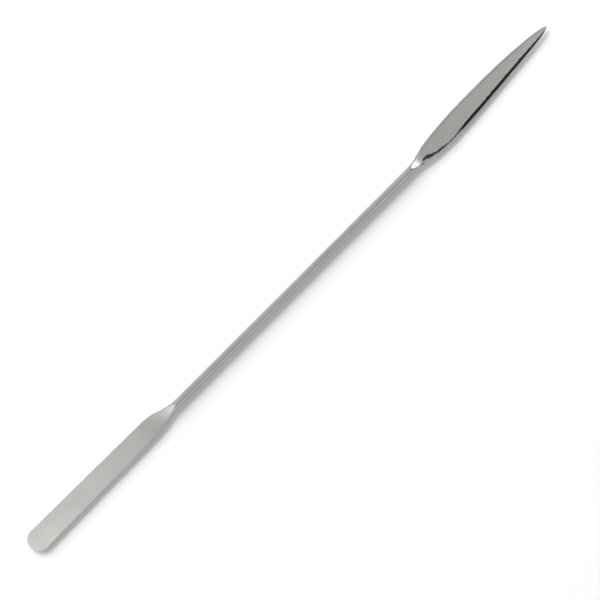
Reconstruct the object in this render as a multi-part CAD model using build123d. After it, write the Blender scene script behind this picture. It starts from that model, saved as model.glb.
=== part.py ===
"""Double-ended sculpting spatula: a round shank between a flat blade and a leaf blade, in millimetres.

+X runs along the tool from the flat blade to the leaf blade's point, +Z is up from the bench.
The origin is at mid-length, below the shank's centre line, on the surface that the tool lies on.
Each blade is drawn pointing along +X from its joint with the shank, then set in place.
"""

from build123d import *
import math
import os

# Shank: one length of round rod, with both blades joined to it end to end and dressed flush.
shank_diameter = 2.0
shank_length = 90.0
neck_length = 0.5  # round stretch of each blade between its joint and its shoulder

# Flat blade: a strap that widens a little towards its round end.
flat_blade_length = 56.0
flat_shoulder_length = 10.0  # from the joint to where the blade lies flat
flat_root_width = 5.6
flat_end_width = 6.4
flat_root_thickness = 0.6
flat_end_thickness = 0.4
flat_edge_band = 0.25  # width of the rounded edge beside the flat face
flat_side_shift = 0.28  # the strap stands this far to the right of the shank's centre line

# Leaf blade: a willow leaf, widest a third of the way along, that leans to one side.
leaf_blade_length = 54.0
leaf_shoulder_length = 5.5  # from the joint to where the blade lies flat
leaf_left_shoulder = 7.5  # from the joint to where the left edge has left the shoulder
leaf_right_shoulder = 4.5  # the same for the right edge
leaf_heel_width = 2.8  # width that the leaf's outline would have at the joint, without the shoulder
leaf_belly_width = 5.75
leaf_belly_distance = 19.5  # from the joint to the widest place
leaf_fullness = 1.3  # how long the leaf stays wide before it draws in to the point
leaf_lean = 1.3  # how far the point stands to the left of the shank's centre line
leaf_lean_distance = 45.0  # from the joint to where the leaf has leaned over fully
leaf_root_thickness = 0.7
leaf_point_thickness = 0.25
leaf_ground_band = 0.8  # width of the ground edge beside the flat face
ground_share = 0.4  # largest share of the half width that a ground edge takes

# Sections that a loft passes through, and room for cutting tools to clear the work.
shoulder_sections = 7
heel_sections = 3
taper_sections = 9
tool_clearance = 1.0

shank_radius = shank_diameter / 2
overall_length = flat_blade_length + shank_length + leaf_blade_length
flat_joint = flat_blade_length - overall_length / 2
leaf_joint = flat_joint + shank_length


def ease(share):
    """Rise from 0 to 1 as share does, level at both ends, and held there outside them."""
    share = min(max(share, 0.0), 1.0)
    return share * share * (3 - 2 * share)


def between(start, end, share):
    """Value that lies the given share of the way from start to end."""
    return start + (end - start) * share


def oval_half_height(half_width, half_thickness, band):
    """Half height of an oval bar whose rounded edges are as wide as band once it is pressed flat."""
    flat_share = 1 - band / half_width
    return half_thickness / math.sqrt(1 - flat_share**2)


def lens_half_height(half_width, half_thickness, band):
    """Half height of a lens-shaped bar whose ground edges are as wide as band once it is pressed flat."""
    flat_share = 1 - band / half_width
    return half_thickness / (1 - flat_share**2)


def oval(distance, half_width, half_height, side_shift):
    """Oval section of the bar, square to the shank's centre line, at a distance from the joint."""
    section = Pos(side_shift, 0) * Ellipse(half_width, half_height)
    return Plane.YZ.offset(distance) * section


def lens(distance, half_width, half_height, side_shift):
    """Lens-shaped section of the bar: two arcs that meet at its edges, or a circle at the joint."""
    left = (side_shift + half_width, 0)
    right = (side_shift - half_width, 0)
    upper = ThreePointArc(left, (side_shift, half_height), right)
    lower = ThreePointArc(right, (side_shift, -half_height), left)
    return Plane.YZ.offset(distance) * make_face(upper + lower)


def rounded_end(distance, radius, half_height, side_shift):
    """Half a flattened ball that closes the bar, with its flat side at a distance from the joint."""
    quarter = Ellipse(radius, half_height) & Pos(radius / 2, 0) * Rectangle(radius, 2 * half_height)
    half_ball = Rot(Z=-90) * revolve(Plane.XZ * quarter, Axis.Z, 180)
    return Pos(distance, side_shift, 0) * half_ball


def pressing_dies(length, shoulder_length, root_thickness, end_thickness):
    """Upper and lower dies: level beside the blade, then an arc that runs out over the round neck."""
    bite = shoulder_length - neck_length
    drop = shank_radius - root_thickness / 2
    die_radius = (bite**2 + drop**2) / (2 * drop)
    joint_rise = die_radius - math.sqrt(die_radius**2 - shoulder_length**2)
    ceiling = root_thickness / 2 + joint_rise + tool_clearance
    root = (shoulder_length, root_thickness / 2)
    over_neck = (0, root_thickness / 2 + joint_rise)
    over_end = (length, end_thickness / 2)
    nose = TangentArc(root, over_neck, tangent=(-1, 0))
    back = Polyline(over_neck, (0, ceiling), (length, ceiling), over_end, root)
    upper = make_face(nose + back)
    profile = Plane.XZ * (upper + mirror(upper, about=Plane.XZ))
    breadth = max(flat_end_width, leaf_belly_width + 2 * leaf_lean) + tool_clearance
    return extrude(profile, breadth / 2, both=True)


def flat_strap_half_width(distance):
    """Half width of the flat blade's strap, as if it ran straight back to the joint."""
    cap_start = flat_blade_length - flat_end_width / 2
    along = (distance - flat_shoulder_length) / (cap_start - flat_shoulder_length)
    return between(flat_root_width, flat_end_width, along) / 2


def make_flat_blade():
    """Strap with a half-round end and a shoulder that draws in to the round neck."""
    cap_start = flat_blade_length - flat_end_width / 2
    root_height = oval_half_height(flat_root_width / 2, flat_root_thickness / 2, flat_edge_band)
    shoulder = []
    for i in range(shoulder_sections):
        share = i / (shoulder_sections - 1)
        distance = share * flat_shoulder_length
        half_width = between(shank_radius, flat_strap_half_width(distance), ease(share))
        half_height = between(shank_radius, root_height, ease(share))
        side_shift = -flat_side_shift * ease(share)
        shoulder.append(oval(distance, half_width, half_height, side_shift))
    strap_end = oval(cap_start, flat_end_width / 2, root_height, -flat_side_shift)
    cap = rounded_end(cap_start, flat_end_width / 2, root_height, -flat_side_shift)
    bar = loft(shoulder) + loft([shoulder[-1], strap_end], ruled=True) + cap
    return bar - pressing_dies(
        flat_blade_length, flat_shoulder_length, flat_root_thickness, flat_end_thickness
    )


def leaf_outline(distance):
    """Half width of the leaf: a parabola from the heel to the belly, then full towards the point."""
    half_belly = leaf_belly_width / 2
    if distance < leaf_belly_distance:
        short_of_belly = 1 - distance / leaf_belly_distance
        return half_belly - (half_belly - leaf_heel_width / 2) * short_of_belly**2
    past_belly = (distance - leaf_belly_distance) / (leaf_blade_length - leaf_belly_distance)
    return half_belly * math.sqrt(1 - past_belly**leaf_fullness)


def leaf_section(distance):
    """Section of the leaf's bar: as round as the neck at the joint, a ground lens past the shoulder."""
    lean = leaf_lean * ease(distance / leaf_lean_distance)
    left = between(shank_radius, leaf_outline(distance) + lean, ease(distance / leaf_left_shoulder))
    right = between(shank_radius, leaf_outline(distance) - lean, ease(distance / leaf_right_shoulder))
    half_width = (left + right) / 2
    along = (distance - leaf_shoulder_length) / (leaf_blade_length - leaf_shoulder_length)
    thickness = between(leaf_root_thickness, leaf_point_thickness, max(along, 0.0))
    band = min(leaf_ground_band, ground_share * half_width)
    ground_height = lens_half_height(half_width, thickness / 2, band)
    half_height = between(shank_radius, ground_height, ease(distance / leaf_shoulder_length))
    return lens(distance, half_width, half_height, (left - right) / 2)


def leaf_stations():
    """Distances of the leaf's sections from the joint, closer in the shoulder and near the point."""
    shoulder_steps = shoulder_sections - 1
    shoulder = [leaf_shoulder_length * i / shoulder_steps for i in range(shoulder_steps)]
    heel_steps = [i / heel_sections for i in range(heel_sections)]
    heel = [between(leaf_shoulder_length, leaf_belly_distance, step) for step in heel_steps]
    taper = []
    for i in range(taper_sections):
        share = math.sin(math.pi / 2 * i / taper_sections)
        taper.append(between(leaf_belly_distance, leaf_blade_length, share))
    return shoulder + heel + taper


def make_leaf_blade():
    """Leaf with ground edges, drawn out to a point, on a short shoulder."""
    sections = [leaf_section(distance) for distance in leaf_stations()]
    point = Vertex(leaf_blade_length, leaf_lean, 0)
    bar = loft(sections + [point])
    return bar - pressing_dies(
        leaf_blade_length, leaf_shoulder_length, leaf_root_thickness, leaf_point_thickness
    )


def make_shank():
    """Plain round rod, drawn from the origin along +X."""
    return extrude(Plane.YZ * Circle(shank_radius), shank_length)


shank = Pos(flat_joint, 0, shank_radius) * make_shank()
flat_blade = Pos(flat_joint, 0, shank_radius) * Rot(Z=180) * make_flat_blade()
leaf_blade = Pos(leaf_joint, 0, shank_radius) * make_leaf_blade()

os.makedirs("parts", exist_ok=True)
export_step(shank, "parts/shank.step")
export_step(flat_blade, "parts/flat_blade.step")
export_step(leaf_blade, "parts/leaf_blade.step")
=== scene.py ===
"""Studio picture of a double-ended sculpting spatula that lies on a pale bench.

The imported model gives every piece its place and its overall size. The shank and the two blades are
made again here as finer meshes by the same laws as the solids: each blade is a round-necked bar that
two dies press flat, so that the light runs over true curves. Lengths are in metres.
"""

import logging
import math
from dataclasses import dataclass
from enum import Enum

import bmesh
import bpy
from mathutils import Matrix, Vector


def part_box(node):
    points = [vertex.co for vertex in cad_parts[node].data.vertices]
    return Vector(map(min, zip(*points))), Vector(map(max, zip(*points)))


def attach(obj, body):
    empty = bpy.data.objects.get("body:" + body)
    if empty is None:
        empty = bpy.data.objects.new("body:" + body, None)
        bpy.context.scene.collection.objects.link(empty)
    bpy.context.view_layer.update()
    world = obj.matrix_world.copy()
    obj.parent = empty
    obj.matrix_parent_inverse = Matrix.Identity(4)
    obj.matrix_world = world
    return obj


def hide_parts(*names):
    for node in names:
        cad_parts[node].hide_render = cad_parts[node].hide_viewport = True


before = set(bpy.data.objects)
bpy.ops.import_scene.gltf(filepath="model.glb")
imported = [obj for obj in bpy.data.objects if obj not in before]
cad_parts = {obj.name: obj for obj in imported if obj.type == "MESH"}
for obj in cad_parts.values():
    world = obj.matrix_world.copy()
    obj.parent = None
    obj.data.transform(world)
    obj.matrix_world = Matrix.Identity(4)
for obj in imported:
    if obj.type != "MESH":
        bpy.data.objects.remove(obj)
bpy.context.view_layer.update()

Colour = tuple[float, float, float]
MM = 0.001
SLACK = 1e-6  # room for rounding where two shares are compared
NOISE_MEAN = 0.5  # where an even noise lies on average
log = logging.getLogger("spatula")


def ease(share: float) -> float:
    """Rise from 0 to 1 as share does, level at both ends and held there outside them."""
    share = min(max(share, 0.0), 1.0)
    return share * share * (3.0 - 2.0 * share)


def between(start: float, end: float, share: float) -> float:
    """Value that lies the given share of the way from start to end."""
    return start + (end - start) * share


def opaque(colour: Colour) -> tuple[float, float, float, float]:
    """Give a colour the full alpha that a colour socket asks for."""
    return (*colour, 1.0)


# ---------------------------------------------------------------------------------------------
# Node trees
# ---------------------------------------------------------------------------------------------


class Wiring:
    """Adds nodes to one node tree and joins their sockets."""

    def __init__(self, tree: bpy.types.NodeTree) -> None:
        """Take hold of a tree."""
        self.tree = tree

    def add(self, kind: str, **settings: object) -> bpy.types.Node:
        """Add a node.

        Args:
            kind: Blender's name for the node type.
            settings: Attributes to set on the node.

        Returns:
            The new node.
        """
        node = self.tree.nodes.new(kind)
        for key, value in settings.items():
            setattr(node, key, value)
        return node

    def join(self, source: bpy.types.NodeSocket, target: bpy.types.NodeSocket) -> None:
        """Link an output socket to an input socket."""
        self.tree.links.new(source, target)

    def feed(self, value: object, target: bpy.types.NodeSocket) -> None:
        """Give an input socket its value.

        Args:
            value: A socket to link, or a number or colour to set on the socket itself.
            target: The input socket.
        """
        if isinstance(value, bpy.types.NodeSocket):
            self.join(value, target)
        else:
            target.default_value = value

    def maths(self, operation: str, *values: object, clamp: bool = False) -> bpy.types.NodeSocket:
        """Add a Math node.

        Args:
            operation: Blender's name for the operation.
            values: Its inputs in order, each a socket or a number.
            clamp: Whether the result is held between 0 and 1.

        Returns:
            The node's output.
        """
        node = self.add("ShaderNodeMath", operation=operation, use_clamp=clamp)
        for value, target in zip(values, node.inputs):
            self.feed(value, target)
        return node.outputs[0]

    def blend(self, share: object, first: object, second: object) -> bpy.types.NodeSocket:
        """Mix two numbers.

        Args:
            share: The mask, which gives first at 0 and second at 1.
            first: A socket or a number.
            second: A socket or a number.

        Returns:
            The mixed number.
        """
        node = self.add("ShaderNodeMix", data_type="FLOAT")
        for value, place in zip((share, first, second), (0, 2, 3)):
            self.feed(value, node.inputs[place])
        return node.outputs[0]

    def tint(self, share: object, first: object, second: object) -> bpy.types.NodeSocket:
        """Mix two colours.

        Args:
            share: The mask, which gives first at 0 and second at 1.
            first: A socket or a colour.
            second: A socket or a colour.

        Returns:
            The mixed colour.
        """
        node = self.add("ShaderNodeMix", data_type="RGBA")
        for value, place in zip((share, first, second), (0, 6, 7)):
            self.feed(opaque(value) if isinstance(value, tuple) else value, node.inputs[place])
        return node.outputs[2]

    def attribute(self, name: str) -> bpy.types.NodeSocket:
        """Read a number that the piece's mesh carries."""
        return self.add("ShaderNodeAttribute", attribute_name=name).outputs["Fac"]

    def grain(self, size: bpy.types.NodeSocket, detail: float) -> bpy.types.NodeSocket:
        """Add an even noise that is fixed to the piece.

        Args:
            size: Size of its largest grains, in metres.
            detail: How many finer layers it has.

        Returns:
            The noise, from 0 to 1.
        """
        noise = self.add("ShaderNodeTexNoise", noise_dimensions="3D")
        self.join(self.add("ShaderNodeTexCoord").outputs["Object"], noise.inputs["Vector"])
        self.join(self.maths("DIVIDE", 1.0, size), noise.inputs["Scale"])
        noise.inputs["Detail"].default_value = detail
        return noise.outputs[0]

    def spread(self, value: bpy.types.NodeSocket, low: float, high: float) -> bpy.types.NodeSocket:
        """Stretch a number's range.

        Args:
            value: The number.
            low: What becomes 0.
            high: What becomes 1.

        Returns:
            The stretched number, held between 0 and 1.
        """
        node = self.add("ShaderNodeMapRange")
        self.join(value, node.inputs["Value"])
        node.inputs["From Min"].default_value = low
        node.inputs["From Max"].default_value = high
        return node.outputs[0]


class EffectGroup:
    """A shader node group with named inputs and outputs that several finishes share."""

    def __init__(self, name: str, inputs: dict[str, float], outputs: tuple[str, ...]) -> None:
        """Make an empty group.

        Args:
            name: Name of the group.
            inputs: Names of its number inputs, each with a starting value.
            outputs: Names of its number outputs.
        """
        self.tree = bpy.data.node_groups.new(name, "ShaderNodeTree")
        sockets, number = self.tree.interface, "NodeSocketFloat"
        for key, value in inputs.items():
            socket = sockets.new_socket(name=key, in_out="INPUT", socket_type=number)
            socket.default_value = value
        for key in outputs:
            sockets.new_socket(name=key, in_out="OUTPUT", socket_type=number)
        self.wires = Wiring(self.tree)
        self.given = self.wires.add("NodeGroupInput").outputs
        self.result = self.wires.add("NodeGroupOutput").inputs

    def place(self, wires: Wiring, **values: object) -> bpy.types.NodeOutputs:
        """Put the group into a material.

        Args:
            wires: The material's wiring.
            values: Input values by name.

        Returns:
            The outputs of the placed group.
        """
        node = wires.add("ShaderNodeGroup", node_tree=self.tree)
        for key, value in values.items():
            wires.feed(value, node.inputs[key])
        return node.outputs


def drawn_lines_group() -> EffectGroup:
    """Make the group of fine lines that drawing and polishing leave along the tool.

    Returns:
        A group with the inputs Length and Width, in metres, and the output Lines.
    """
    layers, layer_strength = 3.0, 0.6
    group = EffectGroup("drawn_lines", {"Length": 0.012, "Width": 0.0001}, ("Lines",))
    wires = group.wires
    along = wires.maths("DIVIDE", 1.0, group.given["Length"])
    across = wires.maths("DIVIDE", 1.0, group.given["Width"])
    scale = wires.add("ShaderNodeCombineXYZ")
    for source, target in zip((along, across, across), scale.inputs):
        wires.join(source, target)
    stretched = wires.add("ShaderNodeVectorMath", operation="MULTIPLY")
    wires.join(wires.add("ShaderNodeTexCoord").outputs["Object"], stretched.inputs[0])
    wires.join(scale.outputs[0], stretched.inputs[1])
    noise = wires.add("ShaderNodeTexNoise", noise_dimensions="3D")
    wires.join(stretched.outputs[0], noise.inputs["Vector"])
    noise.inputs["Scale"].default_value = 1.0
    noise.inputs["Detail"].default_value = layers
    noise.inputs["Roughness"].default_value = layer_strength
    wires.join(wires.spread(noise.outputs[0], low=0.3, high=0.7), group.result["Lines"])
    return group


def mottle_group() -> EffectGroup:
    """Make the group of soft clouding and fine specks that grinding and handling leave.

    Returns:
        A group with the inputs Cloud and Speck, their sizes in metres, and the outputs Clouding
        and Specks.
    """
    group = EffectGroup("mottle", {"Cloud": 0.004, "Speck": 0.0002}, ("Clouding", "Specks"))
    wires = group.wires
    clouding = wires.spread(wires.grain(group.given["Cloud"], detail=4.0), low=0.3, high=0.7)
    specks = wires.spread(wires.grain(group.given["Speck"], detail=2.0), low=0.25, high=0.75)
    wires.join(clouding, group.result["Clouding"])
    wires.join(specks, group.result["Specks"])
    return group


def rim_wear_and_highlight_group() -> EffectGroup:
    """Make the group that breaks up the bright edge: wear along it with a painted highlight.

    Returns:
        A group with the inputs Edge, a mask that is 1 on the edge, and Patch, the size of the
        breaks in metres, and the output Wear_and_highlight.
    """
    contrast, least = 1.2, 0.2
    group = EffectGroup("rim_wear_and_highlight", {"Edge": 0.0, "Patch": 0.0015}, ("Wear_and_highlight",))
    wires = group.wires
    noise = wires.grain(group.given["Patch"], detail=3.0)
    patchy = wires.maths("MULTIPLY_ADD", noise, contrast, least, clamp=True)
    wear_and_highlight = wires.maths("MULTIPLY", group.given["Edge"], patchy, clamp=True)
    wires.join(wear_and_highlight, group.result["Wear_and_highlight"])
    return group


def painted_shade_patch_group() -> EffectGroup:
    """Make the group that gives a patch of painted shade its uneven border.

    Returns:
        A group with the inputs Mask, which is 0.5 on the patch's border, Patch, the size of the
        border's unevenness in metres, Ragged, how far it reaches into the mask, and Crisp, how
        sharp the border is, and the output Tone.
    """
    border, onset = 0.5, 4.0
    inputs = {"Mask": 0.0, "Patch": 0.001, "Ragged": 0.3, "Crisp": 1.0}
    group = EffectGroup("painted_shade_patch", inputs, ("Tone",))
    wires = group.wires
    mask = group.given["Mask"]
    noise = wires.grain(group.given["Patch"], detail=3.0)
    uneven = wires.maths("SUBTRACT", noise, NOISE_MEAN)
    near = wires.maths("MULTIPLY", mask, onset, clamp=True)
    ragged = wires.maths("MULTIPLY", near, group.given["Ragged"])
    shifted = wires.maths("MULTIPLY_ADD", uneven, ragged, mask)
    inside = wires.maths("SUBTRACT", shifted, border)
    tone = wires.maths("MULTIPLY_ADD", inside, group.given["Crisp"], border, clamp=True)
    wires.join(tone, group.result["Tone"])
    return group


# ---------------------------------------------------------------------------------------------
# Finishes
# ---------------------------------------------------------------------------------------------


@dataclass(frozen=True)
class Effects:
    """The node groups that all the steels share."""

    lines: EffectGroup
    mottle: EffectGroup
    rim: EffectGroup
    patch: EffectGroup


@dataclass(frozen=True)
class SteelSurface:
    """How one stretch of steel was finished: its colours, its gloss and the marks left in it."""

    light: Colour
    dark: Colour
    roughness: float
    roughness_spread: float
    line_length: float
    line_width: float
    line_contrast: float
    cloud_size: float
    cloud_contrast: float
    speck_size: float
    speck_contrast: float
    line_depth: float
    speck_depth: float

    def lay(self, wires: Wiring, effects: Effects) -> tuple[object, object, object]:
        """Put this surface's nodes into a material.

        Args:
            wires: The material's wiring.
            effects: The shared node groups.

        Returns:
            Sockets with its colour, its roughness and its height in metres.
        """
        lines = effects.lines.place(wires, Length=self.line_length, Width=self.line_width)["Lines"]
        mottle = effects.mottle.place(wires, Cloud=self.cloud_size, Speck=self.speck_size)
        clouding, specks = mottle["Clouding"], mottle["Specks"]
        shade = wires.maths("MULTIPLY", lines, self.line_contrast)
        shade = wires.maths("MULTIPLY_ADD", clouding, self.cloud_contrast, shade)
        shade = wires.maths("MULTIPLY_ADD", specks, self.speck_contrast, shade, clamp=True)
        colour = wires.tint(shade, self.light, self.dark)
        uneven = wires.maths("SUBTRACT", clouding, NOISE_MEAN)
        spread, mean = self.roughness_spread, self.roughness
        roughness = wires.maths("MULTIPLY_ADD", uneven, spread, mean, clamp=True)
        height = wires.maths("MULTIPLY", lines, self.line_depth)
        height = wires.maths("MULTIPLY_ADD", specks, self.speck_depth, height)
        return colour, roughness, height


@dataclass(frozen=True)
class Tone:
    """A patch of painted shade in another tone, whose place is the piece's painted_shade attribute."""

    colour: Colour
    roughness: float
    patch_size: float
    ragged: float
    crisp: float


@dataclass(frozen=True)
class SteelFinish:
    """A steel piece's material, with one surface all over."""

    name: str
    round_surface: SteelSurface

    def lay(self, wires: Wiring, effects: Effects) -> tuple[object, object, object]:
        """Put the finish's nodes into a material, and give its colour, roughness and height."""
        return self.round_surface.lay(wires, effects)

    def material(self, effects: Effects) -> bpy.types.Material:
        """Make the material.

        Args:
            effects: The shared node groups.

        Returns:
            The material.
        """
        made = bpy.data.materials.new(self.name)
        made.use_nodes = True
        wires = Wiring(made.node_tree)
        shader = made.node_tree.nodes["Principled BSDF"]
        shader.inputs["Metallic"].default_value = 1.0
        colour, roughness, height = self.lay(wires, effects)
        bump = wires.add("ShaderNodeBump")
        bump.inputs["Strength"].default_value = 1.0
        bump.inputs["Distance"].default_value = 1.0
        wires.join(height, bump.inputs["Height"])
        wires.join(colour, shader.inputs["Base Color"])
        wires.join(roughness, shader.inputs["Roughness"])
        wires.join(bump.outputs["Normal"], shader.inputs["Normal"])
        return made


@dataclass(frozen=True)
class BladeFinish(SteelFinish):
    """A blade's material: another surface where the dies pressed it, painted shade and a worn rim with
    a painted highlight.
    """

    pressed_surface: SteelSurface
    # Patch of painted shade.
    tone: Tone
    # Colour of the bright rim: wear with a painted highlight.
    rim_wear_and_highlight_colour: Colour
    rim_roughness: float

    def lay(self, wires: Wiring, effects: Effects) -> tuple[object, object, object]:
        """Put the finish's nodes into a material.

        Args:
            wires: The material's wiring.
            effects: The shared node groups.

        Returns:
            Sockets with its colour, its roughness and its height, which follow the piece's
            pressed, painted_shade and rim attributes.
        """
        colour, roughness, height = self.round_surface.lay(wires, effects)
        pressed = wires.attribute("pressed")
        flat_colour, flat_roughness, flat_height = self.pressed_surface.lay(wires, effects)
        colour = wires.tint(pressed, colour, flat_colour)
        roughness = wires.blend(pressed, roughness, flat_roughness)
        height = wires.blend(pressed, height, flat_height)
        # Painted shade: a dull patch at the flat blade's foot, and a dark reflection band on the leaf.
        patch = effects.patch.place(
            wires,
            Mask=wires.attribute("painted_shade"),
            Patch=self.tone.patch_size,
            Ragged=self.tone.ragged,
            Crisp=self.tone.crisp,
        )
        colour = wires.tint(patch["Tone"], colour, self.tone.colour)
        roughness = wires.blend(patch["Tone"], roughness, self.tone.roughness)
        # Bright rim: wear along the edge with a painted highlight.
        wear_and_highlight = effects.rim.place(wires, Edge=wires.attribute("rim"))["Wear_and_highlight"]
        colour = wires.tint(wear_and_highlight, colour, self.rim_wear_and_highlight_colour)
        roughness = wires.blend(wear_and_highlight, roughness, self.rim_roughness)
        return colour, roughness, height


POLISHED_ROD = SteelSurface(
    light=(0.74, 0.745, 0.74),
    dark=(0.47, 0.48, 0.475),
    roughness=0.2,
    roughness_spread=0.08,
    line_length=0.03,
    line_width=0.00022,
    line_contrast=0.7,
    cloud_size=0.008,
    cloud_contrast=0.2,
    speck_size=0.00025,
    speck_contrast=0.1,
    line_depth=1.5e-6,
    speck_depth=0.2e-6,
)

SATIN_STRAP = SteelSurface(
    light=(0.69, 0.675, 0.65),
    dark=(0.57, 0.56, 0.54),
    roughness=0.24,
    roughness_spread=0.06,
    line_length=0.01,
    line_width=0.00015,
    line_contrast=0.25,
    cloud_size=0.006,
    cloud_contrast=0.35,
    speck_size=0.00035,
    speck_contrast=0.3,
    line_depth=0.3e-6,
    speck_depth=0.3e-6,
)

GROUND_LEAF = SteelSurface(
    light=(0.635, 0.635, 0.60),
    dark=(0.46, 0.465, 0.435),
    roughness=0.22,
    roughness_spread=0.04,
    line_length=0.006,
    line_width=0.00015,
    line_contrast=0.2,
    cloud_size=0.005,
    cloud_contrast=0.2,
    speck_size=0.00035,
    speck_contrast=0.45,
    line_depth=0.2e-6,
    speck_depth=0.3e-6,
)

GROUND_EDGE = SteelSurface(
    light=(0.56, 0.58, 0.56),
    dark=(0.44, 0.46, 0.44),
    roughness=0.13,
    roughness_spread=0.05,
    line_length=0.004,
    line_width=0.0001,
    line_contrast=0.4,
    cloud_size=0.003,
    cloud_contrast=0.2,
    speck_size=0.0002,
    speck_contrast=0.1,
    line_depth=0.6e-6,
    speck_depth=0.2e-6,
)

# Painted shade: a darker patch at the foot of the flat blade's shoulder, which is also rougher.
DULL_FOOT_PAINTED_SHADE = Tone(
    colour=(0.485, 0.48, 0.465),
    roughness=0.36,
    patch_size=0.004,
    ragged=0.35,
    crisp=1.0,
)

# Painted reflection: a near-black band along the leaf's right edge stands for dark surroundings
# reflected in the ground bevel.
DARK_EDGE_PAINTED_REFLECTION = Tone(
    colour=(0.065, 0.07, 0.065),
    roughness=0.2,
    patch_size=0.0008,
    ragged=0.7,
    crisp=5.0,
)

SHANK_FINISH = SteelFinish("shank_polished_steel", POLISHED_ROD)

FLAT_FINISH = BladeFinish(
    name="flat_blade_satin_steel",
    round_surface=POLISHED_ROD,
    pressed_surface=SATIN_STRAP,
    tone=DULL_FOOT_PAINTED_SHADE,
    # Bright rim: wear with a painted highlight.
    rim_wear_and_highlight_colour=(0.80, 0.79, 0.77),
    rim_roughness=0.2,
)

LEAF_FINISH = BladeFinish(
    name="leaf_blade_ground_steel",
    round_surface=GROUND_EDGE,
    pressed_surface=GROUND_LEAF,
    tone=DARK_EDGE_PAINTED_REFLECTION,
    # Bright rim: wear with a painted highlight.
    rim_wear_and_highlight_colour=(0.66, 0.67, 0.65),
    rim_roughness=0.2,
)


# ---------------------------------------------------------------------------------------------
# Pieces
# ---------------------------------------------------------------------------------------------


class BarForm(Enum):
    """Section of the bar that a blade is pressed from."""

    OVAL = "oval"
    LENS = "lens"

    def point(self, half_width: float, half_height: float, share: float) -> tuple[float, float]:
        """Find a point on a quarter of the section.

        Args:
            half_width: Half the section's width.
            half_height: Half its height.
            share: How far the point lies from the edge, 0, to the middle, 1.

        Returns:
            The point's distances from the middle and from the mid-plane.
        """
        if self is BarForm.OVAL:
            angle = share * math.pi / 2
            return half_width * math.cos(angle), half_height * math.sin(angle)
        radius, drop, span = self.arc(half_width, half_height)
        angle = span * (1.0 - share)
        return radius * math.sin(angle), radius * math.cos(angle) - drop

    def share_at(self, half_width: float, half_height: float, height: float) -> float:
        """Find how far round a quarter of the section stands a given height above the mid-plane.

        Args:
            half_width: Half the section's width.
            half_height: Half its height.
            height: Height above the mid-plane.

        Returns:
            The share of the quarter from its edge, which is 1 where the section isn't that high.
        """
        if height >= half_height:
            return 1.0
        if self is BarForm.OVAL:
            return math.asin(height / half_height) / (math.pi / 2)
        radius, drop, span = self.arc(half_width, half_height)
        return 1.0 - math.acos(min(1.0, (height + drop) / radius)) / span

    @staticmethod
    def arc(half_width: float, half_height: float) -> tuple[float, float, float]:
        """Find the arc that the upper half of a lens is.

        Args:
            half_width: Half the lens's width.
            half_height: Half its height.

        Returns:
            The arc's radius, its centre's drop below the mid-plane, and half the angle it spans.
        """
        radius = (half_width**2 + half_height**2) / (2 * half_height)
        drop = radius - half_height
        return radius, drop, math.atan2(half_width, drop)


@dataclass
class Piece:
    """One piece of the tool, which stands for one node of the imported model."""

    node: str
    slot: str
    finish: SteelFinish

    def __post_init__(self) -> None:
        """Read the node's box, which settles the piece's place and its overall size."""
        self.low, self.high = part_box(self.node)
        self.length = self.high.x - self.low.x

    def mesh(self) -> bmesh.types.BMesh:
        """Make the piece's mesh in the row frame."""
        raise NotImplementedError

    def make(self, effects: Effects) -> bpy.types.Object:
        """Build the piece, dress it and put it in the place of its node.

        Args:
            effects: The shared node groups.

        Returns:
            The finished object.
        """
        bm = self.mesh()
        bmesh.ops.recalc_face_normals(bm, faces=bm.faces)
        data = bpy.data.meshes.new(self.node + "_steel")
        bm.to_mesh(data)
        bm.free()
        made = bpy.data.objects.new(self.node + "_steel", data)
        bpy.context.scene.collection.objects.link(made)
        data.materials.append(self.finish.material(effects))
        even = made.modifiers.new("even_shading", "WEIGHTED_NORMAL")
        even.mode = "FACE_AREA"
        even.keep_sharp = True
        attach(made, "root")
        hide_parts(self.node)
        log.info("%s: %d faces, stands for node %s", made.name, len(data.polygons), self.node)
        return made


def start_bar(bm: bmesh.types.BMesh, segments: int, radius: float) -> list[bmesh.types.BMEdge]:
    """Start a round bar: a closed disc square to X at the origin.

    Args:
        bm: The mesh to add to.
        segments: Sides of the disc.
        radius: Radius of the disc.

    Returns:
        The edges of the disc's rim.
    """
    disc = bmesh.ops.create_circle(bm, cap_ends=True, segments=segments, radius=radius)
    turn = Matrix.Rotation(math.pi / 2, 3, "Y")
    bmesh.ops.rotate(bm, verts=disc["verts"], cent=(0, 0, 0), matrix=turn)
    return [edge for edge in bm.edges if len(edge.link_faces) == 1]


def draw_on(
    bm: bmesh.types.BMesh, rim: list[bmesh.types.BMEdge], step: float
) -> list[bmesh.types.BMEdge]:
    """Draw a bar on along X by one step.

    Args:
        bm: The mesh that holds the bar.
        rim: Edges of its open end.
        step: Length to add.

    Returns:
        The edges of the new open end.
    """
    grown = bmesh.ops.extrude_edge_only(bm, edges=rim)["geom"]
    verts = [item for item in grown if isinstance(item, bmesh.types.BMVert)]
    bmesh.ops.translate(bm, verts=verts, vec=(step, 0, 0))
    return [item for item in grown if isinstance(item, bmesh.types.BMEdge)]


def mark_sharp(bm: bmesh.types.BMesh, limit_degrees: float) -> None:
    """Shade a mesh smooth, apart from its sharp edges.

    Args:
        bm: The mesh.
        limit_degrees: How far the surface may turn at an edge that isn't sharp.
    """
    limit = math.radians(limit_degrees)
    for face in bm.faces:
        face.smooth = True
    for edge in bm.edges:
        edge.smooth = edge.calc_face_angle(0.0) < limit


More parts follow.
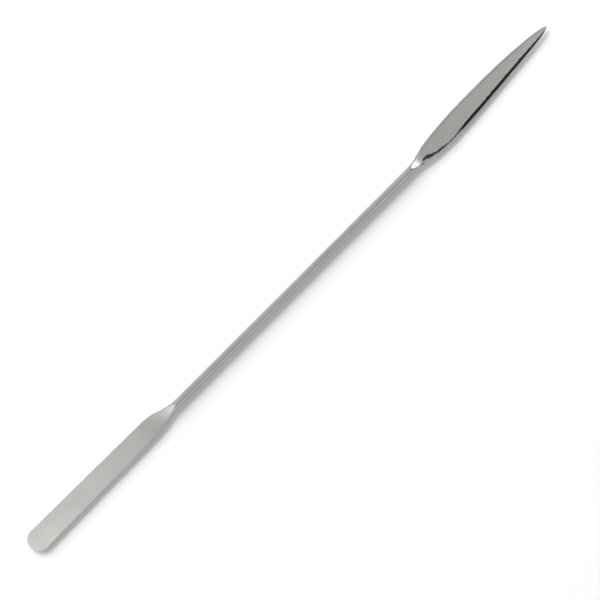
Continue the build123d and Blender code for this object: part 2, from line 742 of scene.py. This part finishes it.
@dataclass
class RoundShank(Piece):
    """The plain rod between the blades."""

    segments: int = 96
    step: float = 2.0 * MM
    sharp_degrees: float = 40.0

    def mesh(self) -> bmesh.types.BMesh:
        """Draw the rod out along the node's own box.

        Returns:
            The rod's mesh.
        """
        radius = (self.high.z - self.low.z) / 2
        steps = round(self.length / self.step)
        bm = bmesh.new()
        rim = start_bar(bm, self.segments, radius)
        for _ in range(steps):
            rim = draw_on(bm, rim, self.length / steps)
        bmesh.ops.holes_fill(bm, edges=rim, sides=0)
        bmesh.ops.translate(bm, verts=bm.verts, vec=(self.low.x, 0, self.low.z + radius))
        mark_sharp(bm, self.sharp_degrees)
        return bm


@dataclass
class PressedBlade(Piece):
    """A blade forged from a bar with a round neck, and pressed flat between two dies.

    Distances run along the blade from its joint with the shank. The blade's left is +Y when it
    points along +X, and the heading turns it round to point the other way.
    """

    heading: int
    form: BarForm
    shank_radius: float
    neck_length: float
    shoulder_length: float
    root_thickness: float
    end_thickness: float
    edge_band: float
    rim_reach: float
    quarter: int = 24  # mesh points in a quarter of the section
    split: float = 0.5  # share of them that the edge band gets, where the dies leave it narrow
    crowding: float = 2.2  # how closely they gather at the edge of the flat
    sharp_degrees: float = 50.0

    def half_width(self, distance: float) -> float:
        """Half width of the bar."""
        raise NotImplementedError

    def half_height(self, distance: float) -> float:
        """Half height of the bar before it is pressed."""
        raise NotImplementedError

    def side_shift(self, distance: float) -> float:
        """How far the bar's middle stands to the left of the shank's centre line."""
        raise NotImplementedError

    def stations(self) -> list[float]:
        """Distances of the mesh's rings, the last one just short of the tip."""
        raise NotImplementedError

    def joint(self) -> Vector:
        """Centre of the joint with the shank."""
        end = self.low if self.heading > 0 else self.high
        return Vector((end.x, 0.0, self.shank_radius))

    def die_height(self, distance: float) -> float:
        """Find how far a die stands from the mid-plane.

        Args:
            distance: Distance from the joint.

        Returns:
            Half the blade's thickness where the die touches it.
        """
        if distance >= self.shoulder_length:
            share = (distance - self.shoulder_length) / (self.length - self.shoulder_length)
            return between(self.root_thickness, self.end_thickness, share) / 2
        bite = self.shoulder_length - self.neck_length
        drop = self.shank_radius - self.root_thickness / 2
        radius = (bite**2 + drop**2) / (2 * drop)
        back = self.shoulder_length - distance
        return self.root_thickness / 2 + radius - math.sqrt(radius**2 - back**2)

    def formed(self, distance: float, angle: float) -> tuple[Vector, float, float]:
        """Move a point of the round blank to where the dies leave it.

        Args:
            distance: The point's distance from the joint.
            angle: Its angle round the blank, from the left edge.

        Returns:
            Its place with the joint at the origin, 1 if it was pressed or else 0, and how near it
            lies to the rim, from 0 to 1.
        """
        wide, high = self.half_width(distance), self.half_height(distance)
        die = self.die_height(distance)
        share = math.asin(min(1.0, abs(math.sin(angle)))) / (math.pi / 2)
        meets = self.form.share_at(wide, high, die)
        split = max(self.split, meets)
        crowd = between(1.0, self.crowding, (1.0 - split) / (1.0 - self.split))
        side = math.copysign(1.0, math.cos(angle))
        up = math.copysign(1.0, math.sin(angle))
        flat_edge, top = self.form.point(wide, high, meets)
        flat_edge = self.dressed_edge(distance, side, flat_edge)
        if share <= split + SLACK:
            along = 1.0 - (1.0 - min(1.0, share / split)) ** crowd
            band = self.form.point(wide, high, meets * along)
            across, height = self.dressed_band(distance, side, along, band, (flat_edge, top))
        else:
            across, height = flat_edge * (1.0 - ((share - split) / (1.0 - split)) ** crowd), top
        pressed = 1.0 if share >= split - SLACK and meets < 1.0 else 0.0
        # Mask of the bright rim, which carries wear and a painted highlight.
        rim = max(0.0, 1.0 - (wide - across) / self.rim_reach) * ease(distance / self.shoulder_length)
        return Vector((distance, self.side_shift(distance) + side * across, up * height)), pressed, rim

    def painted_shade(self, distance: float, across: float) -> float:
        """How far a point lies inside the blade's patch of painted shade, from 0 to 1."""
        raise NotImplementedError

    def dressed_edge(self, distance: float, side: float, flat_edge: float) -> float:
        """Where the flat ends once the blade is dressed by hand: where the dies leave it."""
        return flat_edge

    def dressed_band(
        self,
        distance: float,
        side: float,
        along: float,
        pressed: tuple[float, float],
        crease: tuple[float, float],
    ) -> tuple[float, float]:
        """Where a point of the edge band lies once it is dressed by hand: where the dies leave it."""
        return pressed

    def mesh(self) -> bmesh.types.BMesh:
        """Draw out a round blank, press it and set it at its joint.

        Returns:
            The blade's mesh, with the pressed, painted_shade and rim attributes.
        """
        bm = bmesh.new()
        pressed_layer = bm.verts.layers.float.new("pressed")
        rim_wear_and_highlight_layer = bm.verts.layers.float.new("rim")
        painted_shade_layer = bm.verts.layers.float.new("painted_shade")
        rim = start_bar(bm, 4 * self.quarter, self.shank_radius)
        stations = self.stations()
        for here, ahead in zip(stations, stations[1:]):
            rim = draw_on(bm, rim, ahead - here)
        tip = list(dict.fromkeys(vert for edge in rim for vert in edge.verts))
        for vert in bm.verts:
            distance = vert.co.x
            place, pressed, edge = self.formed(distance, math.atan2(vert.co.z, vert.co.y))
            vert.co = place
            vert[pressed_layer] = pressed
            vert[rim_wear_and_highlight_layer] = edge
            vert[painted_shade_layer] = self.painted_shade(distance, place.y)
        point = Vector((self.length, self.side_shift(self.length), 0.0))
        bmesh.ops.pointmerge(bm, verts=tip, merge_co=point)
        if self.heading < 0:
            turn = Matrix.Rotation(math.pi, 3, "Z")
            bmesh.ops.rotate(bm, verts=bm.verts, cent=(0, 0, 0), matrix=turn)
        bmesh.ops.translate(bm, verts=bm.verts, vec=self.joint())
        mark_sharp(bm, self.sharp_degrees)
        return bm


@dataclass
class FlatBlade(PressedBlade):
    """The strap that widens a little towards its round end."""

    root_width: float = 5.6 * MM
    end_width: float = 6.4 * MM
    shift: float = -0.28 * MM
    # Place of the dull patch with painted shade at the foot of the shoulder.
    dull_shade_centre: float = 6.5 * MM
    dull_shade_toward_joint: float = 5.5 * MM
    dull_shade_toward_end: float = 9.5 * MM
    dull_shade_on_right: float = 0.6
    shoulder_rings: int = 56
    strap_rings: int = 24
    cap_rings: int = 28

    def painted_shade(self, distance: float, across: float) -> float:
        """Find how far the steel is dulled and darkened with painted shade, which is most at the foot
        of the shoulder.

        Args:
            distance: Distance from the joint.
            across: Distance to the left of the shank's centre line.

        Returns:
            A mask from 0 to 1.
        """
        away = distance - self.dull_shade_centre
        reach = self.dull_shade_toward_joint if away < 0.0 else self.dull_shade_toward_end
        to_left = ease(0.5 + across / self.root_width)
        return ease(1.0 - abs(away) / reach) * between(self.dull_shade_on_right, 1.0, to_left)

    @property
    def cap_start(self) -> float:
        """Distance from the joint to where the round end begins."""
        return self.length - self.end_width / 2

    def cap_share(self, distance: float) -> float:
        """What the round end leaves of the strap's width, 1 before it begins and 0 at the tip."""
        past = max(0.0, distance - self.cap_start) / (self.end_width / 2)
        return math.sqrt(max(0.0, 1.0 - past**2))

    def half_width(self, distance: float) -> float:
        """Find the half width of the bar.

        Args:
            distance: Distance from the joint.

        Returns:
            Half the width, which the round end brings down to 0 at the tip.
        """
        share = (distance - self.shoulder_length) / (self.cap_start - self.shoulder_length)
        strap = between(self.root_width, self.end_width, min(share, 1.0)) / 2
        shoulder = ease(distance / self.shoulder_length)
        return between(self.shank_radius, strap, shoulder) * self.cap_share(distance)

    def half_height(self, distance: float) -> float:
        """Find the half height of the bar before it is pressed.

        Args:
            distance: Distance from the joint.

        Returns:
            The height at which pressing leaves rounded edges as wide as the band.
        """
        flat_share = 1.0 - self.edge_band / (self.root_width / 2)
        root = self.root_thickness / 2 / math.sqrt(1.0 - flat_share**2)
        shoulder = ease(distance / self.shoulder_length)
        return between(self.shank_radius, root, shoulder) * self.cap_share(distance)

    def side_shift(self, distance: float) -> float:
        """How far the bar's middle stands to the left of the shank's centre line."""
        return self.shift * ease(distance / self.shoulder_length)

    def stations(self) -> list[float]:
        """Space out the mesh's rings.

        Returns:
            Their distances from the joint, the last one just short of the tip.
        """
        shoulder = [self.shoulder_length * i / self.shoulder_rings for i in range(self.shoulder_rings)]
        steps = [i / self.strap_rings for i in range(self.strap_rings)]
        strap = [between(self.shoulder_length, self.cap_start, step) for step in steps]
        turns = [math.sin(math.pi / 2 * i / self.cap_rings) for i in range(self.cap_rings)]
        cap = [between(self.cap_start, self.length, turn) for turn in turns]
        return shoulder + strap + cap


@dataclass(frozen=True)
class Swell:
    """A smooth rise to 1 at a centre and back to 0 at its reach on either side."""

    centre: float
    reach: float

    def at(self, distance: float) -> float:
        """Height of the rise at a distance."""
        return ease(1.0 - abs(distance - self.centre) / self.reach)


@dataclass
class LeafBlade(PressedBlade):
    """The willow leaf with ground edges, drawn out to a point."""

    left_shoulder: float = 7.5 * MM
    right_shoulder: float = 4.5 * MM
    heel_width: float = 2.8 * MM
    belly_width: float = 5.75 * MM
    belly_distance: float = 19.5 * MM
    fullness: float = 1.3
    lean: float = 1.3 * MM
    lean_distance: float = 45.0 * MM
    band_share: float = 0.4
    dressed_from: float = 2.4 * MM
    dressed_by: float = 4.4 * MM
    dressed_until: float = 16.0 * MM
    undressed_by: float = 19.0 * MM
    heel: Swell = Swell(6.0 * MM, 4.4 * MM)
    heel_depth: float = 0.9 * MM
    heel_rim: float = 0.26 * MM
    heel_power: float = 1.4
    waist: Swell = Swell(13.5 * MM, 5.0 * MM)
    waist_depth: float = 0.5 * MM
    waist_slope: float = 21.0
    ripple_pitch: float = 1.9 * MM
    ripple_swing: float = 0.05 * MM
    blunt_rim: float = 0.12 * MM
    rim_share: float = 0.8
    rim_wall: float = 0.06
    dark_blend: float = 0.6 * MM
    # The band of painted dark reflection along the right edge: distance from the joint, then how far
    # in from the right edge the band's middle lies, then its half width, which starts below 0 so that
    # the band has no blunt beginning.
    painted_dark_reflection_band: tuple[tuple[float, float, float], ...] = (
        (3.7 * MM, 1.05 * MM, -0.30 * MM),
        (4.2 * MM, 1.20 * MM, 0.20 * MM),
        (5.0 * MM, 1.36 * MM, 0.38 * MM),
        (5.8 * MM, 1.28 * MM, 0.54 * MM),
        (6.4 * MM, 1.04 * MM, 0.56 * MM),
        (7.2 * MM, 0.78 * MM, 0.42 * MM),
        (8.0 * MM, 0.62 * MM, 0.34 * MM),
        (8.6 * MM, 0.42 * MM, 0.32 * MM),
        (9.6 * MM, 0.38 * MM, 0.32 * MM),
        (12.0 * MM, 0.20 * MM, 0.20 * MM),
        (14.0 * MM, 0.12 * MM, 0.12 * MM),
        (17.0 * MM, 0.14 * MM, 0.14 * MM),
        (18.5 * MM, 0.36 * MM, 0.34 * MM),
        (20.0 * MM, 0.44 * MM, 0.44 * MM),
        (30.0 * MM, 0.44 * MM, 0.44 * MM),
        (40.0 * MM, 0.46 * MM, 0.38 * MM),
        (47.0 * MM, 0.40 * MM, 0.29 * MM),
        (51.0 * MM, 0.27 * MM, 0.14 * MM),
        (54.1 * MM, 0.05 * MM, 0.02 * MM),
    )
    shoulder_rings: int = 50
    heel_rings: int = 40
    taper_rings: int = 70

    def outline(self, distance: float) -> float:
        """Find the half width of the leaf, as if it ran straight back to the joint.

        Args:
            distance: Distance from the joint.

        Returns:
            A parabola from the heel to the belly, then a full curve towards the point.
        """
        half_belly = self.belly_width / 2
        if distance < self.belly_distance:
            short = 1.0 - distance / self.belly_distance
            return half_belly - (half_belly - self.heel_width / 2) * short**2
        past = (distance - self.belly_distance) / (self.length - self.belly_distance)
        return half_belly * math.sqrt(max(0.0, 1.0 - past**self.fullness))

    def edges(self, distance: float) -> tuple[float, float]:
        """Find the edges of the leaf.

        Args:
            distance: Distance from the joint.

        Returns:
            Distances of the left and right edges from the shank's centre line.
        """
        lean = self.lean * ease(distance / self.lean_distance)
        outline = self.outline(distance)
        left = between(self.shank_radius, outline + lean, ease(distance / self.left_shoulder))
        right = between(self.shank_radius, outline - lean, ease(distance / self.right_shoulder))
        return left, right

    def half_width(self, distance: float) -> float:
        """Half width of the bar."""
        return sum(self.edges(distance)) / 2

    def half_height(self, distance: float) -> float:
        """Find the half height of the bar before it is pressed.

        Args:
            distance: Distance from the joint.

        Returns:
            The height at which pressing leaves ground edges as wide as the band.
        """
        half_width = self.half_width(distance)
        if half_width <= 0.0:
            return 0.0
        along = (distance - self.shoulder_length) / (self.length - self.shoulder_length)
        thickness = between(self.root_thickness, self.end_thickness, max(along, 0.0))
        band = min(self.edge_band, self.band_share * half_width)
        ground = thickness / 2 / (1.0 - (1.0 - band / half_width) ** 2)
        return between(self.shank_radius, ground, ease(distance / self.shoulder_length))

    def side_shift(self, distance: float) -> float:
        """How far the bar's middle stands to the left of the shank's centre line."""
        left, right = self.edges(distance)
        return (left - right) / 2

    def rippled(self, distance: float) -> float:
        """How far the unsteady hand moved the file at a distance from the joint."""
        return self.ripple_swing * math.sin(math.tau * distance / self.ripple_pitch)

    def painted_shade(self, distance: float, across: float) -> float:
        """Find how far a point lies inside the painted dark reflection, a band along the right edge.

        Args:
            distance: Distance from the joint.
            across: Distance to the left of the shank's centre line.

        Returns:
            A mask that is 0.5 on the band's border, and rises to 1 inside it.
        """
        inside = self.edges(distance)[1] + across
        knots = self.painted_dark_reflection_band
        if distance < knots[0][0]:
            return 0.0
        ahead = next((i for i, knot in enumerate(knots) if knot[0] > distance), len(knots) - 1)
        here, there = knots[ahead - 1], knots[ahead]
        share = (distance - here[0]) / (there[0] - here[0])
        middle, half_width = (between(a, b, share) for a, b in zip(here[1:], there[1:]))
        within = half_width - abs(inside - middle - self.rippled(distance))
        return min(max(0.5 + within / self.dark_blend, 0.0), 1.0)

    def dressed(self, distance: float, side: float) -> float:
        """Find how far the right edge is dressed by hand, which it is at the heel and the waist.

        Args:
            distance: Distance from the joint.
            side: 1 on the left and -1 on the right.

        Returns:
            A mask from 0 to 1.
        """
        if side > 0:
            return 0.0
        begun = ease((distance - self.dressed_from) / (self.dressed_by - self.dressed_from))
        fade = self.undressed_by - self.dressed_until
        return begun * (1.0 - ease((distance - self.dressed_until) / fade))

    def dressed_edge(self, distance: float, side: float, flat_edge: float) -> float:
        """Find where the flat ends once the right edge is dressed by hand.

        Args:
            distance: Distance from the joint.
            side: 1 on the left and -1 on the right.
            flat_edge: Where the dies leave the end of the flat, from the middle.

        Returns:
            Distance from the middle to the end of the flat.
        """
        depth = self.heel_depth + self.rippled(distance)
        moved = flat_edge - depth * self.heel.at(distance) + self.waist_depth * self.waist.at(distance)
        limit = self.half_width(distance) - self.blunt_rim
        return between(flat_edge, min(moved, limit), self.dressed(distance, side))

    def dressed_band(
        self,
        distance: float,
        side: float,
        along: float,
        pressed: tuple[float, float],
        crease: tuple[float, float],
    ) -> tuple[float, float]:
        """Move a point of the edge band to where dressing by hand leaves it.

        Args:
            distance: Distance from the joint.
            side: 1 on the left and -1 on the right.
            along: The point's place in the band, from 0 at the rim to 1 at the flat.
            pressed: Where the dies leave it, across and up.
            crease: Where the flat ends, across and up.

        Returns:
            The point's distances from the middle and from the mid-plane.
        """
        flat_edge, top = crease
        wide = self.half_width(distance)
        dressed = self.dressed(distance, side)
        hollow = self.heel.at(distance)
        wall = self.rim_wall
        up_band = max(0.0, (along - wall) / (1.0 - wall))
        bevel = between(up_band, up_band**self.heel_power, hollow)
        band = wide - flat_edge
        waist_rim = max(self.blunt_rim, top - math.tan(math.radians(self.waist_slope)) * band)
        near_heel = min(2.0 * hollow, 1.0)
        rim_height = min(between(waist_rim, self.heel_rim, near_heel), top * self.rim_share)
        across = wide - band * up_band
        height = between(rim_height, top, bevel) if along > wall else rim_height * along / wall
        return between(pressed[0], across, dressed), between(pressed[1], height, dressed)

    def stations(self) -> list[float]:
        """Space out the mesh's rings.

        Returns:
            Their distances from the joint, the last one just short of the tip.
        """
        shoulder = [self.left_shoulder * i / self.shoulder_rings for i in range(self.shoulder_rings)]
        steps = [i / self.heel_rings for i in range(self.heel_rings)]
        heel = [between(self.left_shoulder, self.belly_distance, step) for step in steps]
        turns = [math.sin(math.pi / 2 * i / self.taper_rings) for i in range(self.taper_rings)]
        taper = [between(self.belly_distance, self.length, turn) for turn in turns]
        return shoulder + heel + taper


@dataclass
class Spatula:
    """The whole tool: the shank and its two blades."""

    neck_length: float = 0.5 * MM

    def pieces(self) -> list[Piece]:
        """List the pieces.

        Returns:
            The shank, the flat blade and the leaf blade.
        """
        low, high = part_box("shank")
        radius = (high.z - low.z) / 2
        shank = RoundShank("shank", "shank_steel", SHANK_FINISH)
        flat = FlatBlade(
            node="flat_blade",
            slot="flat_blade_steel",
            finish=FLAT_FINISH,
            heading=-1,
            form=BarForm.OVAL,
            shank_radius=radius,
            neck_length=self.neck_length,
            shoulder_length=10.0 * MM,
            root_thickness=0.6 * MM,
            end_thickness=0.4 * MM,
            edge_band=0.25 * MM,
            rim_reach=0.25 * MM,
        )
        leaf = LeafBlade(
            node="leaf_blade",
            slot="leaf_blade_steel",
            finish=LEAF_FINISH,
            heading=1,
            form=BarForm.LENS,
            shank_radius=radius,
            neck_length=self.neck_length,
            shoulder_length=5.5 * MM,
            root_thickness=0.7 * MM,
            end_thickness=0.25 * MM,
            edge_band=0.8 * MM,
            rim_reach=0.15 * MM,
        )
        return [shank, flat, leaf]

    def make(self, effects: Effects) -> list[bpy.types.Object]:
        """Build every piece in order."""
        return [piece.make(effects) for piece in self.pieces()]


# ---------------------------------------------------------------------------------------------
# Studio
# ---------------------------------------------------------------------------------------------


@dataclass(frozen=True)
class SoftLight:
    """A rectangular lamp that faces the tool."""

    name: str
    side: float
    along: float
    height: float
    breadth: float
    depth: float
    radiance: float
    colour: Colour
    on_bench: bool
    in_steel: bool

    def make(self) -> bpy.types.Object:
        """Hang the lamp.

        Returns:
            The lamp's object.
        """
        lamp = bpy.data.lights.new(self.name, "AREA")
        lamp.shape = "RECTANGLE"
        lamp.size = self.breadth
        lamp.size_y = self.depth
        lamp.energy = self.radiance * math.pi * self.breadth * self.depth
        lamp.color = self.colour
        made = bpy.data.objects.new(self.name, lamp)
        made.location = (self.along, self.side, self.height)
        made.rotation_euler = (-made.location).to_track_quat("-Z", "Y").to_euler()
        made.visible_camera = False
        made.visible_diffuse = self.on_bench
        made.visible_glossy = self.in_steel
        bpy.context.scene.collection.objects.link(made)
        return made


@dataclass(frozen=True)
class Flag:
    """A plain card that the steel reflects, and that neither shades the bench nor shows itself."""

    name: str
    side: float
    along: float
    height: float
    breadth: float
    depth: float
    glow: Colour

    def make(self) -> bpy.types.Object:
        """Hang the card level along the tool, tilted so that it faces it.

        Returns:
            The card's object.
        """
        bm = bmesh.new()
        bmesh.ops.create_grid(bm, x_segments=1, y_segments=1, size=0.5)
        bmesh.ops.scale(bm, vec=(self.breadth, self.depth, 1.0), verts=bm.verts)
        facing = Vector((0.0, -self.side, -self.height)).to_track_quat("Z", "Y").to_matrix()
        bmesh.ops.rotate(bm, verts=bm.verts, cent=(0, 0, 0), matrix=facing)
        bmesh.ops.translate(bm, verts=bm.verts, vec=(self.along, self.side, self.height))
        data = bpy.data.meshes.new(self.name)
        bm.to_mesh(data)
        bm.free()
        made = bpy.data.objects.new(self.name, data)
        bpy.context.scene.collection.objects.link(made)
        card = bpy.data.materials.new(self.name)
        card.use_nodes = True
        wires = Wiring(card.node_tree)
        glow = wires.add("ShaderNodeEmission")
        glow.inputs["Color"].default_value = opaque(self.glow)
        wires.join(glow.outputs[0], card.node_tree.nodes["Material Output"].inputs["Surface"])
        data.materials.append(card)
        for ray in ("camera", "diffuse", "shadow", "transmission", "volume_scatter"):
            setattr(made, "visible_" + ray, False)
        return made


WHITE: Colour = (1.0, 1.0, 1.0)

LAMPS = (
    SoftLight(
        name="key",
        side=1.35,
        along=0.0,
        height=0.54,
        breadth=1.8,
        depth=1.12,
        radiance=9.2,
        colour=WHITE,
        on_bench=True,
        in_steel=False,
    ),
    SoftLight(
        name="shoulder_lamp",
        side=0.0,
        along=0.75,
        height=1.15,
        breadth=0.6,
        depth=0.5,
        radiance=2.2,
        colour=WHITE,
        on_bench=False,
        in_steel=True,
    ),
    SoftLight(
        name="strap_lamp",
        side=0.0,
        along=-0.66,
        height=1.5,
        breadth=0.6,
        depth=0.7,
        radiance=0.75,
        colour=(1.0, 0.97, 0.95),
        on_bench=False,
        in_steel=True,
    ),
    SoftLight(
        name="left_lamp",
        side=1.2,
        along=0.0,
        height=0.62,
        breadth=1.6,
        depth=0.4,
        radiance=0.36,
        colour=WHITE,
        on_bench=False,
        in_steel=True,
    ),
)

CARDS = (
    Flag(
        name="leaf_flag",
        side=-0.62,
        along=0.36,
        height=0.75,
        breadth=0.50,
        depth=0.62,
        glow=(0.22, 0.225, 0.22),
    ),
    Flag(
        name="shank_flag",
        side=-0.85,
        along=-0.14,
        height=0.45,
        breadth=0.44,
        depth=0.42,
        glow=(0.30, 0.31, 0.30),
    ),
)


@dataclass(frozen=True)
class Studio:
    """The pale bench, the lamps, the cards and the camera above the tool."""

    bench_size: float = 8.0
    bench_albedo: float = 0.86
    room_for_steel: Colour = (0.58, 0.585, 0.58)
    room_for_bench: Colour = (0.50, 0.505, 0.52)
    room_seen: Colour = WHITE
    lens: float = 135.0
    sensor: float = 36.0
    picture_breadth: float = 0.1636
    picture_middle: tuple[float, float] = (-0.0003, -0.00392)
    camera_turn: float = -45.0
    clip_near: float = 0.01
    clip_far: float = 20.0
    tool_middle: float = 1.0 * MM  # height at which the picture is as broad as picture_breadth

    def bench(self) -> None:
        """Lay the bench at the lowest point of the tool."""
        bm = bmesh.new()
        bmesh.ops.create_grid(bm, x_segments=1, y_segments=1, size=self.bench_size / 2)
        data = bpy.data.meshes.new("bench")
        bm.to_mesh(data)
        bm.free()
        made = bpy.data.objects.new("bench", data)
        bpy.context.scene.collection.objects.link(made)
        paint = bpy.data.materials.new("bench_white")
        paint.use_nodes = True
        shader = paint.node_tree.nodes["Principled BSDF"]
        shader.inputs["Base Color"].default_value = opaque((self.bench_albedo,) * 3)
        shader.inputs["Roughness"].default_value = 1.0
        shader.inputs["Specular IOR Level"].default_value = 0.0
        data.materials.append(paint)

    def room(self) -> None:
        """Give the room its own even light: one for the bench, one that the steel reflects."""
        world = bpy.data.worlds.new("room")
        bpy.context.scene.world = world
        world.use_nodes = True
        wires = Wiring(world.node_tree)
        nodes = world.node_tree.nodes
        seen = nodes["Background"]
        seen.inputs["Color"].default_value = opaque(self.room_seen)
        steel = wires.add("ShaderNodeBackground")
        steel.inputs["Color"].default_value = opaque(self.room_for_steel)
        soft = wires.add("ShaderNodeBackground")
        soft.inputs["Color"].default_value = opaque(self.room_for_bench)
        path = wires.add("ShaderNodeLightPath")
        lower = wires.add("ShaderNodeMixShader")
        wires.join(path.outputs["Is Glossy Ray"], lower.inputs[0])
        wires.join(soft.outputs[0], lower.inputs[1])
        wires.join(steel.outputs[0], lower.inputs[2])
        upper = wires.add("ShaderNodeMixShader")
        wires.join(path.outputs["Is Camera Ray"], upper.inputs[0])
        wires.join(lower.outputs[0], upper.inputs[1])
        wires.join(seen.outputs[0], upper.inputs[2])
        wires.join(upper.outputs[0], nodes["World Output"].inputs["Surface"])

    def camera(self) -> None:
        """Hang the camera straight above the tool, turned so that the tool lies across the corners."""
        lens = bpy.data.cameras.new("camera")
        lens.lens = self.lens
        lens.sensor_width = self.sensor
        lens.clip_start = self.clip_near
        lens.clip_end = self.clip_far
        made = bpy.data.objects.new("camera", lens)
        away = self.picture_breadth * self.lens / self.sensor
        made.location = (*self.picture_middle, away + self.tool_middle)
        made.rotation_euler = (0.0, 0.0, math.radians(self.camera_turn))
        bpy.context.scene.collection.objects.link(made)
        bpy.context.scene.camera = made

    def lights(self) -> None:
        """Hang the lamps and the cards."""
        for item in (*LAMPS, *CARDS):
            item.make()

    def make(self) -> None:
        """Set up everything around the tool."""
        bpy.context.scene.view_settings.view_transform = "Standard"
        self.bench()
        self.room()
        self.lights()
        self.camera()


def main() -> None:
    """Build the tool and the studio around it."""
    logging.basicConfig(level=logging.INFO, format="%(message)s")
    effects = Effects(drawn_lines_group(), mottle_group(), rim_wear_and_highlight_group(), painted_shade_patch_group())
    Spatula().make(effects)
    Studio().make()


if __name__ == "__main__":
    main()
